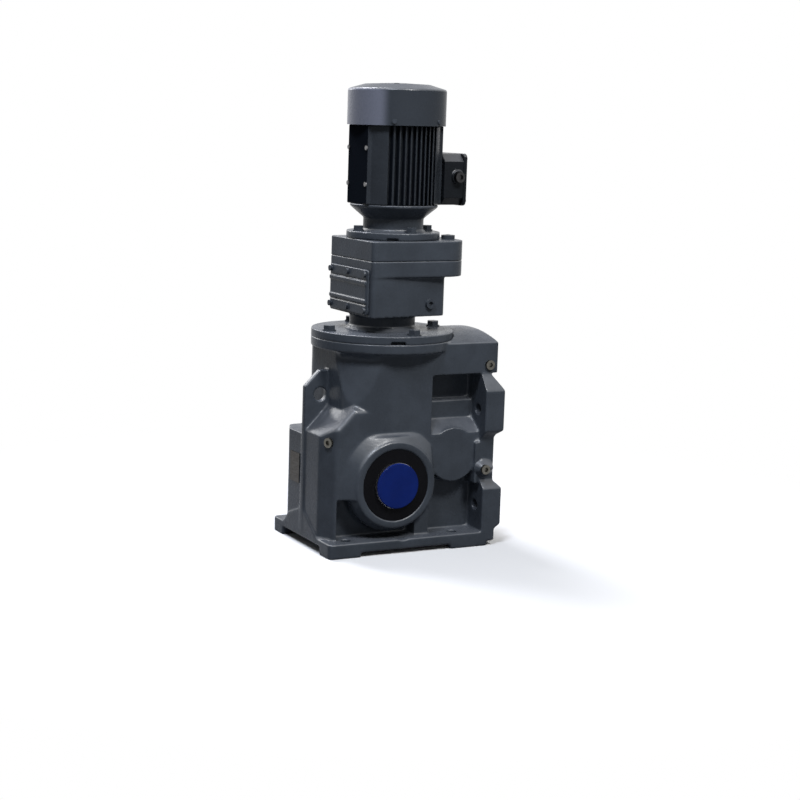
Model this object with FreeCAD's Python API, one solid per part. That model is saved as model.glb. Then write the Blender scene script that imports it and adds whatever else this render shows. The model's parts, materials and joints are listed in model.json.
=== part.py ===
import FreeCAD, Part
import math
import os

from FreeCAD import Vector

# A right-angle gear motor that stands on its foot with the motor on top: a helical-bevel gear unit,
# a two-stage helical pre-stage bolted to its round flange, and a finned motor above that.
# Millimetres. X runs along the front face, Y to the rear along the output shaft, Z up. The origin is
# the centre of the foot's bolt pattern on the foot plane, which is also on the input axis.

# Clearances
running_gap = 0.05      # radial, a shaft in its bearing or seal
seat_gap = 0.02         # radial, a piece seated in another
pass_gap = 0.3          # axial, faces that turn past each other
gear_gap = 3.0          # a gear to the wall of its chamber

# Foot
foot_left = 149.0
foot_right = 164.0
foot_inset = 6.0
foot_thick = 26.0
foot_corner = 8.0
foot_relief = 8.0
relief_left = 61.0
relief_right = 76.0
relief_side = 42.0
side_relief = 15.0
side_relief_depth = 18.0
bolt_span_x = 210.0
bolt_span_y = 180.0
bolt_hole = 18.0
spot_face = 34.0
spot_depth = 1.0
notch_radius = 33.0
notch_shift = 16.0
notch_rise = 31.0

# Cast body of the main housing
body_half = 99.0
left_face = 147.0
left_flat_half = 62.0
left_cut = 17.0
cast_corner = 12.0
rib_rise = 2.5
web_front = 62.0
web_top = 64.0
web_bend = 56.0
web_bend_top = 46.0
web_rear = 79.0
shoulder = 205.0
rear_shoulder = 198.0
roof_top = 256.0
roof_end = 98.0
roof_round = 12.0
upper_left = 105.0
upper_corner = 45.0
pocket_left = 52.0
pocket_back = 70.0
deep_pocket_back = 55.0
deep_pocket_low = 258.0
recess_left = 127.0
recess_right = 24.0
recess_top = 98.0
housing_top = 366.0
ring_radius = 125.0
ring_thick = 17.0
pilot_radius = 90.0
pilot_depth = 10.0

# Block over the input wheel, at the right
block_right = 182.0
block_depth = 59.0
block_floor = 7.0
edge_drop = 4.0
ridge_rise = 12.0

# Side foot, at the right
plate_inner = 149.0
plate_thick = 18.0
pad_rise = 21.0
pad_slope = 20.0
pad_undercut = 13.0
heel_rise = 9.0
heel_lift = 8.0
side_bolt_low = 70.0
side_bolt_high = 242.0
side_bolt_depth = 58.0
lower_pad_length = 65.0
upper_pad_length = 70.0

# Lifting lug and plugs of the main housing
lug_thick = 13.0
lug_cut = 28.0
lug_drop = 55.0
lug_hole = 24.0
lug_hole_x = -120.0
lug_hole_z = 268.0
plug_radius = 8.5
plug_rise = 5.0
plug_socket = 8.0
plug_socket_depth = 4.0
corner_plug_along = 23.0
corner_plug_drop = 8.0
block_plug_inset = 18.0
block_plug_rise = 15.0
plate_plug_x = 151.0
plate_plug_z = 139.0
ear_radius = 14.0
ear_depth = 25.0

# Shaft axes
output_x = -22.7
output_z = 121.3
middle_x = 98.0
middle_z = 165.0
motor_x = 16.0
layshaft_x = 58.0

# Output
hub_half = 120.0
hub_radius = 40.0
hub_seat = 46.0
hub_collar = 52.0
hub_collar_width = 8.0
bore_radius = 30.0
key_width = 18.0
key_rise = 4.4
boss_radius = 76.0
boss_base = 84.0
boss_flare = 100.0
boss_flat = 84.0
boss_face = 115.5
boss_rim = 3.0
output_seat = 62.5
output_bearing_start = 66.0
output_bearing_width = 22.0
seal_width = 12.0
seal_inset = 1.5
cap_flange = 3.0
cap_plug = 14.0
cap_wall = 4.0
cap_seat = 33.0

# Gear teeth, and the counts and face widths of each stage from the motor to the output
tooth_angle = 25.0
addendum = 0.8
dedendum = 1.05
backlash = 0.06
helix_angle = 10.0
motor_teeth = 10
lay_wheel_teeth = 26
motor_stage_width = 16.0
lay_teeth = 10
slow_wheel_teeth = 27
slow_stage_width = 24.0
input_teeth = 13
input_wheel_teeth = 22
input_stage_width = 28.0
bevel_teeth = 10
crown_teeth = 24
bevel_module = 4.3
bevel_face = 22.0
crown_back = 14.0
pinion_back = 6.0
final_teeth = 10
final_wheel_teeth = 32
final_stage_width = 34.0

# Intermediate shaft, along Y
middle_shaft = 17.5
middle_seat = 36.0
middle_bearing_width = 18.0
middle_collar = 6.0
middle_boss = 48.0
middle_boss_top = 38.0
middle_boss_slope = 23.0
chamber_half = 60.0
end_cap_depth = 8.0
end_cap_wall = 4.0

# Bevel pinion shaft, vertical
bevel_shaft = 15.0
bevel_seat = 31.0
bevel_bearing_width = 18.0
bevel_bearing_gap = 9.0

# Pre-stage
flange_thick = 14.0
spigot_depth = 8.0
neck_radius = 58.0
neck_flare = 8.0
neck_height = 28.0
prestage_body_height = 69.0
rim_height = 28.0
cover_height = 34.0
prestage_left = 65.0
prestage_half = 85.0
prestage_body_right = 87.0
prestage_body_taper = 14.0
prestage_right = 127.0
prestage_corner = 45.0
prestage_left_corner = 8.0
prestage_wall = 9.0
input_chamber = 60.0
slow_shaft = 17.5
slow_seat = 36.0
slow_bearing_width = 17.0
slow_wheel_rise = 11.0
input_seal_width = 10.0
lay_shaft = 10.0
lay_seat = 21.0
lay_bearing_width = 12.0
lay_bearing_sink = 5.0
lay_top_seat = 17.0
lay_top_width = 9.0
lay_wheel_rise = 2.0
shoulder_gap = 2.0
pry_width = 26.0
pry_depth = 10.0
pry_height = 5.0
pry_turn = 14.0

# Side cover, plugs and flange bolts of the pre-stage
side_cover_thick = 7.0
side_cover_half = 74.0
side_cover_rise = 4.0
side_cover_height = 78.0
side_cover_corner = 6.0
side_plate = 3.5
side_band = 16.0
side_rib = 6.0
side_rib_gap = 4.0
side_screw = 5.0
side_screw_head = 4.0
flange_bolt_circle = 107.0
flange_bolt_turn = 4.0
bolt_across = 19.0
bolt_head = 7.5
bolt_washer = 12.0
washer_thick = 2.0
prestage_plug_x = 53.0
prestage_plug_rise = 22.0
vent_x = 109.0
vent_y = -32.0
vent_radius = 12.0
vent_rise = 7.0
vent_dome = 1.5

# Rating plate, blank
rating_start = 15.0
rating_end = 53.0
rating_low = 107.0
rating_high = 160.0
rating_thick = 1.0
rating_corner = 2.0

# Motor
adapter_radius = 82.0
adapter_thick = 13.0
adapter_slot_width = 21.0
adapter_slot_depth = 5.0
adapter_slot_height = 4.0
adapter_slot_turn = 28.0
adapter_bolt_circle = 68.0
adapter_across = 16.0
adapter_washer = 10.0
motor_neck = 53.0
motor_neck_height = 23.0
motor_neck_chamfer = 4.0
motor_taper = 24.0
taper_rim = 4.0
frame_length = 136.0
frame_core = 67.0
frame_radius = 77.0
frame_bore = 60.0
fin_count = 11
fin_pitch = 9.5
fin_thick = 3.2
lobe_angle = 38.0
lobe_half_angle = 12.5
pad_plane = 73.5
pad_half_width = 38.0
pad_screw = 4.0
pad_screw_head = 2.0
pad_screw_y = 33.5
pad_screw_low = 35.0
pad_screw_high = 97.0
motor_shaft = 12.5
shaft_clearance = 4.0
motor_seal_wall = 6.0
motor_seal_width = 10.0
motor_spigot = 22.0
motor_spigot_depth = 9.0
motor_seat = 26.0
motor_bearing_width = 15.0
motor_seat_wall = 6.0
rear_seat = 23.5
rear_bearing_width = 14.0
rotor_radius = 38.5
air_gap = 0.5
core_length = 100.0
winding_rise = 14.0
winding_gap = 3.0
winding_chamfer = 4.0
pinion_bore = 6.0
pinion_length_gap = 1.0
fan_bore = 9.0
fan_hub = 18.0
fan_gap = 12.0
fan_blades = 7
fan_radius = 68.0
fan_height = 26.0
fan_disc = 3.0
shield_thick = 12.0
shield_lug = 14.0
cowl_radius = 86.0
cowl_wall = 2.0
cowl_height = 62.0
cowl_dome = 11.0
cowl_round = 5.0
cowl_crown = 57.0
cowl_crown_drop = 2.5
cowl_screw = 4.0
cowl_screw_head = 2.5
cowl_screw_rise = 7.0
cowl_screw_angle = 60.0
inlet_slots = 12
inlet_inner = 20.0
inlet_outer = 56.0
inlet_width = 9.0

# Terminal box, on the right side of the motor
box_height = 89.0
box_half = 46.0
box_depth = 38.5
box_wall = 4.0
box_chamfer = 13.0
lid_thick = 6.0
lid_overhang = 1.0
lid_corner = 8.0
lid_screw = 4.0
lid_screw_head = 3.0
lid_screw_inset = 8.0
entry_out = 26.0
entry_rise = 49.0
entry_radius = 9.0
entry_boss = 3.0
entry_boss_rise = 4.0
entry_plug_rise = 8.0
entry_recess = 5.0
board_thick = 12.0
board_half = 26.0
board_height = 32.0
stud_radius = 2.5
stud_rise = 9.0
stud_pitch = 15.0
stud_row = 9.0


def box(x0, x1, y0, y1, z0, z1):
    return Part.makeBox(x1 - x0, y1 - y0, z1 - z0, Vector(x0, y0, z0))


def rod(radius, start, end):
    """A cylinder between two points."""
    run = Vector(*end) - Vector(*start)
    return Part.makeCylinder(radius, run.Length, Vector(*start), run)


def upright(radius, x, low, high):
    """A cylinder about a vertical axis in the middle plane."""
    return rod(radius, (x, 0, low), (x, 0, high))


def across(radius, x, z, y0, y1):
    """A cylinder along Y."""
    return rod(radius, (x, y0, z), (x, y1, z))


def ring(outer, inner, start, end):
    return rod(outer, start, end).cut(rod(inner, start, end))


def upright_ring(outer, inner, x, low, width):
    return ring(outer, inner, (x, 0, low), (x, 0, low + width))


def outline(corners):
    """A flat face from corners (u, v) or (u, v, radius), with each such radius as a tangent arc."""
    count = len(corners)
    points = [Vector(corner[0], corner[1], 0) for corner in corners]
    radii = [corner[2] if len(corner) > 2 else 0.0 for corner in corners]
    starts = []
    middles = []
    ends = []
    for i, point in enumerate(points):
        before = (points[i - 1] - point).normalize()
        after = (points[(i + 1) % count] - point).normalize()
        half = before.getAngle(after) / 2
        reach = radii[i] / math.tan(half) if radii[i] else 0.0
        starts.append(point + before * reach)
        ends.append(point + after * reach)
        inward = (before + after).normalize() if radii[i] else Vector()
        middles.append(point + inward * (radii[i] / math.sin(half) - radii[i]))
    edges = []
    for i in range(count):
        if radii[i]:
            edges.append(Part.Arc(starts[i], middles[i], ends[i]).toShape())
        following = starts[(i + 1) % count]
        if not ends[i].isEqual(following, 1e-6):
            edges.append(Part.makeLine(ends[i], following))
    return Part.Face(Part.Wire(edges))


def rectangle(u0, u1, v0, v1, radius=0.0):
    """The corners of an upright rectangle, for outline."""
    return [(u0, v0, radius), (u1, v0, radius), (u1, v1, radius), (u0, v1, radius)]


def hexagon(u, v, across_flats):
    radius = across_flats / math.sqrt(3)
    turns = [math.radians(60 * k) for k in range(6)]
    return [(u + radius * math.cos(turn), v + radius * math.sin(turn)) for turn in turns]


def slab(corners, low, high):
    """An (x, y) outline raised from z = low to high."""
    return outline(corners).extrude(Vector(0, 0, high - low)).translated(Vector(0, 0, low))


def plate_y(corners, y0, y1):
    """An (x, z) outline, from y0 to y1."""
    solid = outline(corners).extrude(Vector(0, 0, y1 - y0))
    return solid.rotated(Vector(0, 0, 0), Vector(1, 0, 0), 90).translated(Vector(0, y1, 0))


def plate_x(corners, x0, x1):
    """A (y, z) outline, from x0 to x1."""
    solid = outline(corners).extrude(Vector(0, 0, x1 - x0))
    return solid.rotated(Vector(0, 0, 0), Vector(1, 1, 1), 120).translated(Vector(x0, 0, 0))


def turned(profile, x=0.0):
    """An outline of (radius, height) corners turned about the vertical axis at x."""
    face = outline(profile).rotated(Vector(0, 0, 0), Vector(1, 0, 0), 90)
    return face.revolve(Vector(0, 0, 0), Vector(0, 0, 1), 360).translated(Vector(x, 0, 0))


def turned_y(profile, x, z):
    """An outline of (radius, y) corners turned about the axis along Y at x, z."""
    solid = turned(profile)
    return solid.rotated(Vector(0, 0, 0), Vector(1, 0, 0), -90).translated(Vector(x, 0, z))


def fused(shapes):
    return shapes[0].multiFuse(shapes[1:]).removeSplitter()


def group(shapes):
    return Part.makeCompound(shapes)


def mirrored_y(shape):
    return shape.mirror(Vector(0, 0, 0), Vector(0, 1, 0))


def spun(shape, angle, x=0.0):
    """The shape turned about Z by an angle in degrees, then moved to the vertical axis at x."""
    return shape.rotated(Vector(0, 0, 0), Vector(0, 0, 1), angle).translated(Vector(x, 0, 0))


# Gear teeth

def tooth_half(teeth, module, steps):
    """Radius and half angle of a thinned involute tooth, from root to tip, flank in straight steps."""
    pitch = teeth * module / 2
    angle = math.radians(tooth_angle)
    base = pitch * math.cos(angle)
    root = pitch - dedendum * module
    tip = pitch + addendum * module
    foot = max(base, root)
    middle = math.pi / (2 * teeth) - backlash * module / pitch / 2

    def half_angle(radius):
        press = math.acos(min(1.0, base / radius))
        return middle + math.tan(angle) - angle - math.tan(press) + press

    radii = [foot + (tip - foot) * k / steps for k in range(steps + 1)]
    points = [(radius, half_angle(radius)) for radius in radii]
    if root < base:
        points.insert(0, (root, half_angle(foot)))
    return points


def toothed_ring(half, teeth):
    """The (radius, angle) corners of all teeth, tooth 0 centred on the +X direction."""
    corners = []
    for k in range(teeth):
        centre = 2 * math.pi * k / teeth
        corners += [(radius, centre - turn) for radius, turn in half]
        corners += [(radius, centre + turn) for radius, turn in reversed(half)]
    return corners


def polar_points(corners, height, turn):
    return [Vector(r * math.cos(a + turn), r * math.sin(a + turn), height) for r, a in corners]


def flat_face(points):
    return Part.Face(Part.makePolygon(points + points[:1]))


def twisted_solid(low, high):
    """A solid between two like outlines, each side in two flat triangles that keep inside the true surface."""
    faces = [flat_face(low), flat_face(high)]
    for i in range(len(low)):
        a, b = low[i - 1], low[i]
        d, c = high[i - 1], high[i]
        outward = (b - a).cross(d - a).dot(c - a) > 0
        halves = ([a, b, d], [b, c, d]) if outward else ([a, b, c], [a, c, d])
        faces += [flat_face(half) for half in halves]
    shell = Part.Shell(faces)
    shell.sewShape()
    return Part.Solid(shell)


def helical_gear(teeth, module, width, hand, turn, bore=0.0, steps=1):
    """A helical gear about Z from z = 0, its middle section turned by the given angle."""
    corners = toothed_ring(tooth_half(teeth, module, steps), teeth)
    twist = hand * width * math.tan(math.radians(helix_angle)) / (teeth * module / 2)
    gear = twisted_solid(polar_points(corners, 0, turn - twist / 2), polar_points(corners, width, turn + twist / 2))
    return gear.cut(rod(bore, (0, 0, 0), (0, 0, width))) if bore else gear


def bevel_gear(teeth, mate_teeth, back, turn, steps):
    """A straight bevel gear about Z with its cone apex at the origin and its back towards +Z."""
    cone = math.atan2(teeth, mate_teeth)
    sin = math.sin(cone)
    cos = math.cos(cone)
    reach = teeth * bevel_module / 2 / sin
    virtual = teeth / cos
    pitch = virtual * bevel_module / 2
    slopes = []
    for radius, half in tooth_half(virtual, bevel_module, steps):
        slopes.append((math.tan(cone + math.atan2(radius - pitch, reach)), half / cos))
    corners = toothed_ring(slopes, teeth)
    inner = reach - bevel_face
    near = inner * cos / 8
    far = reach * cos + 2 * back
    small = polar_points([(slope * near, angle) for slope, angle in corners], near, turn)
    large = polar_points([(slope * far, angle) for slope, angle in corners], far, turn)
    pyramid = twisted_solid(small, large)
    over = 2 * bevel_module
    under = dedendum * bevel_module
    front = inner * cos + under * sin
    rim = reach * sin - under * cos
    blank = turned([(0, front), (inner * sin - under * cos, front),
                    (inner * sin + over * cos, inner * cos - over * sin),
                    (reach * sin + over * cos, reach * cos - over * sin),
                    (rim, reach * cos + under * sin), (rim, reach * cos + back), (0, reach * cos + back)])
    return pyramid.common(blank)


# Derived sizes and places
foot_half = ring_radius - foot_inset
plate_outer = plate_inner + plate_thick
pad_face = plate_outer + pad_rise
block_low = housing_top - block_depth
block_edge = housing_top - edge_drop
block_ridge = housing_top + ridge_rise
lug_top = housing_top - lug_drop
flange_top = housing_top + flange_thick
prestage_floor = flange_top + neck_height
prestage_rim = prestage_floor + prestage_body_height
prestage_parting = prestage_rim + rim_height
prestage_top = prestage_parting + cover_height
adapter_top = prestage_top + adapter_thick
motor_neck_top = adapter_top + motor_neck_height
frame_low = motor_neck_top + motor_taper
frame_high = frame_low + frame_length
shield_top = frame_high + shield_thick
cowl_side_top = frame_high + cowl_height
cowl_top = cowl_side_top + cowl_dome
fan_low = shield_top + fan_gap
fan_top = fan_low + fan_height
box_low = frame_low
box_high = box_low + box_height
box_back = motor_x + pad_plane
box_face = box_back + box_depth
entry_x = box_back + entry_out
entry_z = box_low + entry_rise
motor_module = 2 * (layshaft_x - motor_x) / (motor_teeth + lay_wheel_teeth)
slow_module = 2 * layshaft_x / (lay_teeth + slow_wheel_teeth)
input_module = 2 * middle_x / (input_teeth + input_wheel_teeth)
final_distance = math.hypot(middle_x - output_x, middle_z - output_z)
final_module = 2 * final_distance / (final_teeth + final_wheel_teeth)
final_angle = math.degrees(math.atan2(output_z - middle_z, output_x - middle_x))
final_stage_y = -chamber_half + shoulder_gap + final_stage_width / 2
output_tip = final_module * (final_wheel_teeth / 2 + addendum)
input_tip = input_module * (input_wheel_teeth / 2 + addendum)
slow_tip = slow_module * (slow_wheel_teeth / 2 + addendum)
lay_tip = slow_module * (lay_teeth / 2 + addendum)
lay_wheel_tip = motor_module * (lay_wheel_teeth / 2 + addendum)
crown_radius = bevel_module * crown_teeth / 2
crown_pitch_y = bevel_module * bevel_teeth / 2
bevel_top = middle_z + crown_radius
input_floor = block_low + block_floor
input_stage_low = input_floor + gear_gap
input_stage_high = input_stage_low + input_stage_width
bevel_lower_bearing = bevel_top + bevel_bearing_gap
bevel_upper_bearing = input_floor - gear_gap - bevel_bearing_width
slow_floor = prestage_floor + prestage_wall
slow_wheel_low = slow_floor + slow_wheel_rise
slow_roof = prestage_rim + gear_gap
slow_lower_bearing = flange_top + gear_gap
lay_low = slow_floor - lay_bearing_sink
lay_wheel_low = prestage_parting + lay_wheel_rise
lay_top_low = lay_wheel_low + motor_stage_width + shoulder_gap
lay_top = lay_top_low + lay_top_width
core_low = (frame_low + frame_high - core_length) / 2
core_high = core_low + core_length
outside = 2 * foot_half


def main_housing():
    """The casting: foot, body, round flange, bosses, side foot and lug, with its chambers and bores."""
    front = [output_boss(), intermediate_boss()]
    body = fused([lower_body(), upper_body(), right_core()]).cut(group(body_recesses()))
    solids = [foot(), body, shoulder_roof(), lug(), left_web(), input_block()]
    solids += side_foot() + front + [mirrored_y(piece) for piece in front]
    eye = across(lug_hole / 2, lug_hole_x, lug_hole_z, -lug_thick, lug_thick)
    return fused(solids).cut(fused(chambers() + foot_cuts() + [eye]))


def foot():
    """The foot, with a hollow in its front and rear edges under the output bosses."""
    corners = rectangle(-foot_left, foot_right, -foot_half, foot_half, foot_corner)
    notch = across(notch_radius, output_x + notch_shift, foot_thick + notch_rise, -outside, -pocket_back)
    return slab(corners, 0, foot_thick).cut(group([notch, mirrored_y(notch)]))


def lower_plan():
    """The plan of the wide lower part, with the front and rear left corners cut off."""
    cut = -left_face + left_cut
    return [(-left_face, -left_flat_half, cast_corner), (cut, -body_half, cast_corner),
            (pocket_left, -body_half), (pocket_left, body_half), (cut, body_half, cast_corner),
            (-left_face, left_flat_half, cast_corner)]


def lower_body():
    """The wide lower part, a little lower behind the lug than in front of it."""
    body = slab(lower_plan(), foot_relief, shoulder)
    return body.cut(box(-outside, -upper_left, 0, outside, rear_shoulder, shoulder + 1))


def shoulder_roof():
    """The slope in front of the lug, from the left face up to the upper part, with its front edges rounded."""
    low = shoulder - cast_corner
    crest = upper_left - upper_corner
    side = [(-left_face, low), (-left_face, shoulder), (-roof_end, roof_top), (-crest, roof_top), (-crest, low)]
    roof = plate_y(side, -body_half, 0).common(slab(lower_plan(), low, roof_top))
    edges = []
    for edge in roof.Edges:
        bounds = edge.BoundBox
        raised = bounds.ZMax > shoulder + 1 and bounds.XMin < -crest - 1
        if raised and bounds.XLength > 1 and bounds.Center.y < -left_flat_half:
            edges.append(edge)
    return roof.makeFillet(roof_round, edges)


def upper_body():
    """The narrower upper part under the round flange, and the flange's ring."""
    corners = [(-upper_left, -body_half, upper_corner), (pocket_left, -body_half), (pocket_left, body_half),
               (-upper_left, body_half, upper_corner)]
    neck = slab(corners, foot_thick, housing_top - ring_thick)
    return fused([neck, upright(ring_radius, 0, housing_top - ring_thick, housing_top)])


def right_core():
    """The set-back wall on the right, between the body and the side foot."""
    return box(pocket_left - cast_corner, plate_inner + 1, -pocket_back, pocket_back, foot_relief, block_low + 1)


def body_recesses():
    """The hollows in the front wall under the output boss and under the block, and the same in the rear wall."""
    front = [box(-recess_left, recess_right, -outside, -pocket_back, foot_thick, recess_top),
             box(pocket_left, plate_inner, -outside, -deep_pocket_back, deep_pocket_low, block_low)]
    return front + [mirrored_y(hollow) for hollow in front]


def left_web():
    """The rib that runs down the left face from the lug, and the web it spreads into on the foot's left edge."""
    inside = -left_face + rib_rise
    half = lug_thick / 2
    rib = box(-left_face - rib_rise, inside, -half, half, foot_thick, shoulder)
    base = foot_thick - rib_rise
    corners = [(-web_front, base), (-web_front, foot_thick), (-half, web_top), (half, web_top),
               (web_bend, web_bend_top), (web_rear, foot_thick), (web_rear, base)]
    return fused([rib, plate_x(corners, -foot_left, inside)])


def lug():
    """The lifting lug, a plate in the middle plane on the left."""
    reach = -left_face - rib_rise
    corners = [(-upper_left + cast_corner, lug_top), (reach + lug_cut, lug_top), (reach, lug_top - lug_cut),
               (reach, shoulder - cast_corner), (-upper_left + cast_corner, shoulder - cast_corner)]
    return plate_y(corners, -lug_thick / 2, lug_thick / 2)


def input_block():
    """The block over the input wheel, with a roof that falls to the front and rear."""
    edge = Vector(0, -body_half, block_edge)
    far_edge = Vector(0, body_half, block_edge)
    low = Vector(0, -body_half, block_low)
    far_low = Vector(0, body_half, block_low)
    roof = Part.Arc(edge, Vector(0, 0, block_ridge), far_edge).toShape()
    sides = [Part.makeLine(low, edge), roof, Part.makeLine(far_edge, far_low), Part.makeLine(far_low, low)]
    start = pocket_left - cast_corner
    solid = Part.Face(Part.Wire(sides)).extrude(Vector(block_right - start, 0, 0)).translated(Vector(start, 0, 0))
    return solid.cut(upright(ring_radius + 1, 0, housing_top, block_ridge + 1))


def side_foot():
    """The upright plate on the right with its two machined pads, the heel under them and an ear for a plug."""
    lower_top = side_bolt_low + lower_pad_length / 2 + pad_slope
    solids = [box(plate_inner, plate_outer, -foot_half, foot_half, foot_thick / 2, block_low + 1),
              box(plate_inner, plate_outer + heel_rise, -foot_half, foot_half, heel_lift, side_bolt_low),
              across(ear_radius, plate_plug_x, plate_plug_z, -foot_half, -foot_half + ear_depth)]
    for middle, length, top in ((side_bolt_low, lower_pad_length, lower_top), (side_bolt_high, upper_pad_length, block_low)):
        low = middle - length / 2
        corners = [(plate_inner, low - pad_undercut), (plate_outer, low - pad_undercut), (pad_face, low),
                   (pad_face, middle + length / 2), (plate_outer, top), (plate_inner, top)]
        solids.append(plate_y(corners, -foot_half, foot_half))
    return solids


def boss_cone(base):
    """A cone from the output boss's rim back to the front wall, then straight into the body."""
    return turned_y([(0, -boss_face), (boss_radius, -boss_face), (boss_radius, -boss_face + boss_rim),
                     (base, -body_half), (base, 0), (0, 0)], output_x, output_z)


def output_boss():
    """The boss round the front end of the output shaft, with a wider flare on its upper left, flat on top."""
    upper_left_part = box(-outside, pocket_left, -outside, 0, recess_top, output_z + boss_flat)
    return fused([boss_cone(boss_base), boss_cone(boss_flare).common(upper_left_part)])


def intermediate_boss():
    """The boss round the intermediate shaft's front bearing: round below, square with a sloped top above."""
    top = middle_z + middle_boss_top
    corners = [(-body_half, middle_z), (-body_half, top), (-pocket_back, top + middle_boss_slope),
               (0, top + middle_boss_slope), (0, middle_z)]
    square = plate_x(corners, middle_x - middle_boss, middle_x + middle_boss)
    return fused([across(middle_boss, middle_x, middle_z, -body_half, 0), square])


def chambers():
    """The hollows for the gears and the bores for the bearings."""
    bearing_end = -chamber_half - middle_bearing_width - pass_gap
    return [across(output_tip + gear_gap, output_x, output_z, -chamber_half, chamber_half),
            across(crown_radius + 2 * gear_gap, middle_x, middle_z, -chamber_half, chamber_half),
            upright(input_chamber, 0, shoulder + cast_corner, housing_top + 1),
            upright(pilot_radius, 0, housing_top - pilot_depth, housing_top + 1),
            upright(input_tip + gear_gap, middle_x, input_floor, input_stage_high + gear_gap),
            upright(bevel_seat, middle_x, middle_z, input_floor + 1),
            across(output_seat, output_x, output_z, -outside, outside),
            across(middle_seat, middle_x, middle_z, bearing_end, outside)]


def foot_cuts():
    """The relief under the foot, its bolt holes with spot faces, and the side foot's bolt holes."""
    cuts = [box(-foot_left + relief_left, foot_right - relief_right, -outside, outside, -1, foot_relief),
            box(-outside, outside, -foot_half + relief_side, foot_half - relief_side, -1, foot_relief),
            box(-outside, -foot_left + side_relief_depth, -foot_half + relief_side, foot_half - relief_side, -1, side_relief)]
    for y in (-bolt_span_y / 2, bolt_span_y / 2):
        for x in (-bolt_span_x / 2, bolt_span_x / 2):
            cuts.append(rod(bolt_hole / 2, (x, y, -1), (x, y, foot_thick + 1)))
            cuts.append(rod(spot_face / 2, (x, y, foot_thick - spot_depth), (x, y, foot_thick + spot_face / 2)))
        for z in (side_bolt_low, side_bolt_high):
            cuts.append(rod(bolt_hole / 2, (pad_face - side_bolt_depth, y, z), (pad_face + 1, y, z)))
    return cuts


def rating_plate():
    """A blank plate on the left face of the main housing."""
    corners = rectangle(rating_start, rating_end, rating_low, rating_high, rating_corner)
    return plate_x(corners, -left_face - rating_thick, -left_face)


def socket_plug(place, outward):
    """A screw plug with a hexagon socket, seated at a place and facing outward."""
    plug = rod(plug_radius, (0, 0, 0), (0, 0, plug_rise))
    plug = plug.cut(slab(hexagon(0, 0, plug_socket), plug_rise - plug_socket_depth, plug_rise))
    swing = FreeCAD.Rotation(Vector(0, 0, 1), Vector(*outward))
    return plug.rotated(Vector(0, 0, 0), swing.Axis, math.degrees(swing.Angle)).translated(Vector(*place))


def oil_plugs():
    """The main housing's plugs: on the cut corner, in the block and in the side foot's plate."""
    run_y = body_half - left_flat_half
    share = corner_plug_along / math.hypot(left_cut, run_y)
    corner = (-left_face + left_cut * share, -left_flat_half - run_y * share, shoulder - corner_plug_drop)
    return group([socket_plug(corner, (-run_y, -left_cut, 0)),
                  socket_plug((block_right - block_plug_inset, -body_half, block_low + block_plug_rise), (0, -1, 0)),
                  socket_plug((plate_plug_x, -foot_half, plate_plug_z), (0, -1, 0))])


# Output

def along_y(gear, x, z):
    """Lays a gear of the final stage along Y, its +X mark swung to the line of the two axes."""
    gear = gear.translated(Vector(0, 0, -final_stage_width / 2))
    gear = gear.rotated(Vector(0, 0, 0), Vector(0, 0, 1), -final_angle)
    gear = gear.rotated(Vector(0, 0, 0), Vector(1, 0, 0), -90)
    return gear.translated(Vector(x, final_stage_y, z))


def output_gear():
    """The last wheel, on the hollow shaft."""
    turn = math.pi + math.pi / final_wheel_teeth
    wheel = helical_gear(final_wheel_teeth, final_module, final_stage_width, -1, turn, hub_seat + seat_gap)
    return along_y(wheel, output_x, output_z)


def hollow_shaft():
    """The output hub: keyed bore, a seat for the wheel with a collar behind it, and a seat for the cap."""
    high = final_stage_y + final_stage_width / 2
    shoulder_y = output_bearing_start - pass_gap
    cap_end = -hub_half + cap_plug
    body = turned_y([(cap_seat, -hub_half), (hub_radius, -hub_half), (hub_radius, -shoulder_y),
                     (hub_seat, -shoulder_y), (hub_seat, high), (hub_collar, high),
                     (hub_collar, high + hub_collar_width), (hub_seat, high + hub_collar_width),
                     (hub_seat, shoulder_y), (hub_radius, shoulder_y), (hub_radius, hub_half),
                     (bore_radius, hub_half), (bore_radius, cap_end), (cap_seat, cap_end)], output_x, output_z)
    groove = box(output_x - key_width / 2, output_x + key_width / 2, cap_end, hub_half,
                 output_z, output_z + bore_radius + key_rise)
    return body.cut(groove)


def shaft_cap():
    """The push-in guard over the hollow shaft's front end."""
    plug = cap_seat - seat_gap
    rim = hub_radius - pass_gap
    face = -hub_half - cap_flange
    edge = cap_flange / 2
    return turned_y([(0, face), (rim - edge, face), (rim, face + edge), (rim, -hub_half), (plug, -hub_half),
                     (plug, -hub_half + cap_plug), (plug - cap_wall, -hub_half + cap_plug),
                     (plug - cap_wall, -hub_half), (0, -hub_half)], output_x, output_z)


def ring_pair_y(x, z, seat, shaft, start, width):
    """Two equal rings about an axis along Y, at the front and the rear."""
    front = ring(seat - seat_gap, shaft + running_gap, (x, -start - width, z), (x, -start, z))
    return group([front, mirrored_y(front)])


def output_bearings():
    return ring_pair_y(output_x, output_z, output_seat, hub_radius, output_bearing_start, output_bearing_width)


def output_seals():
    start = boss_face - seal_inset - seal_width
    return ring_pair_y(output_x, output_z, output_seat, hub_radius, start, seal_width)


# Intermediate shaft and bevel stage

def intermediate_bearings():
    return ring_pair_y(middle_x, middle_z, middle_seat, middle_shaft, chamber_half, middle_bearing_width)


def intermediate_end_cap():
    """The pressed cap that closes the rear end of the intermediate shaft's bore."""
    rim = middle_seat - seat_gap
    face = body_half - 1
    start = face - end_cap_depth
    return turned_y([(0, face - end_cap_wall), (rim - end_cap_wall, face - end_cap_wall), (rim - end_cap_wall, start),
                     (rim, start), (rim, face), (0, face)], middle_x, middle_z)


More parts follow.
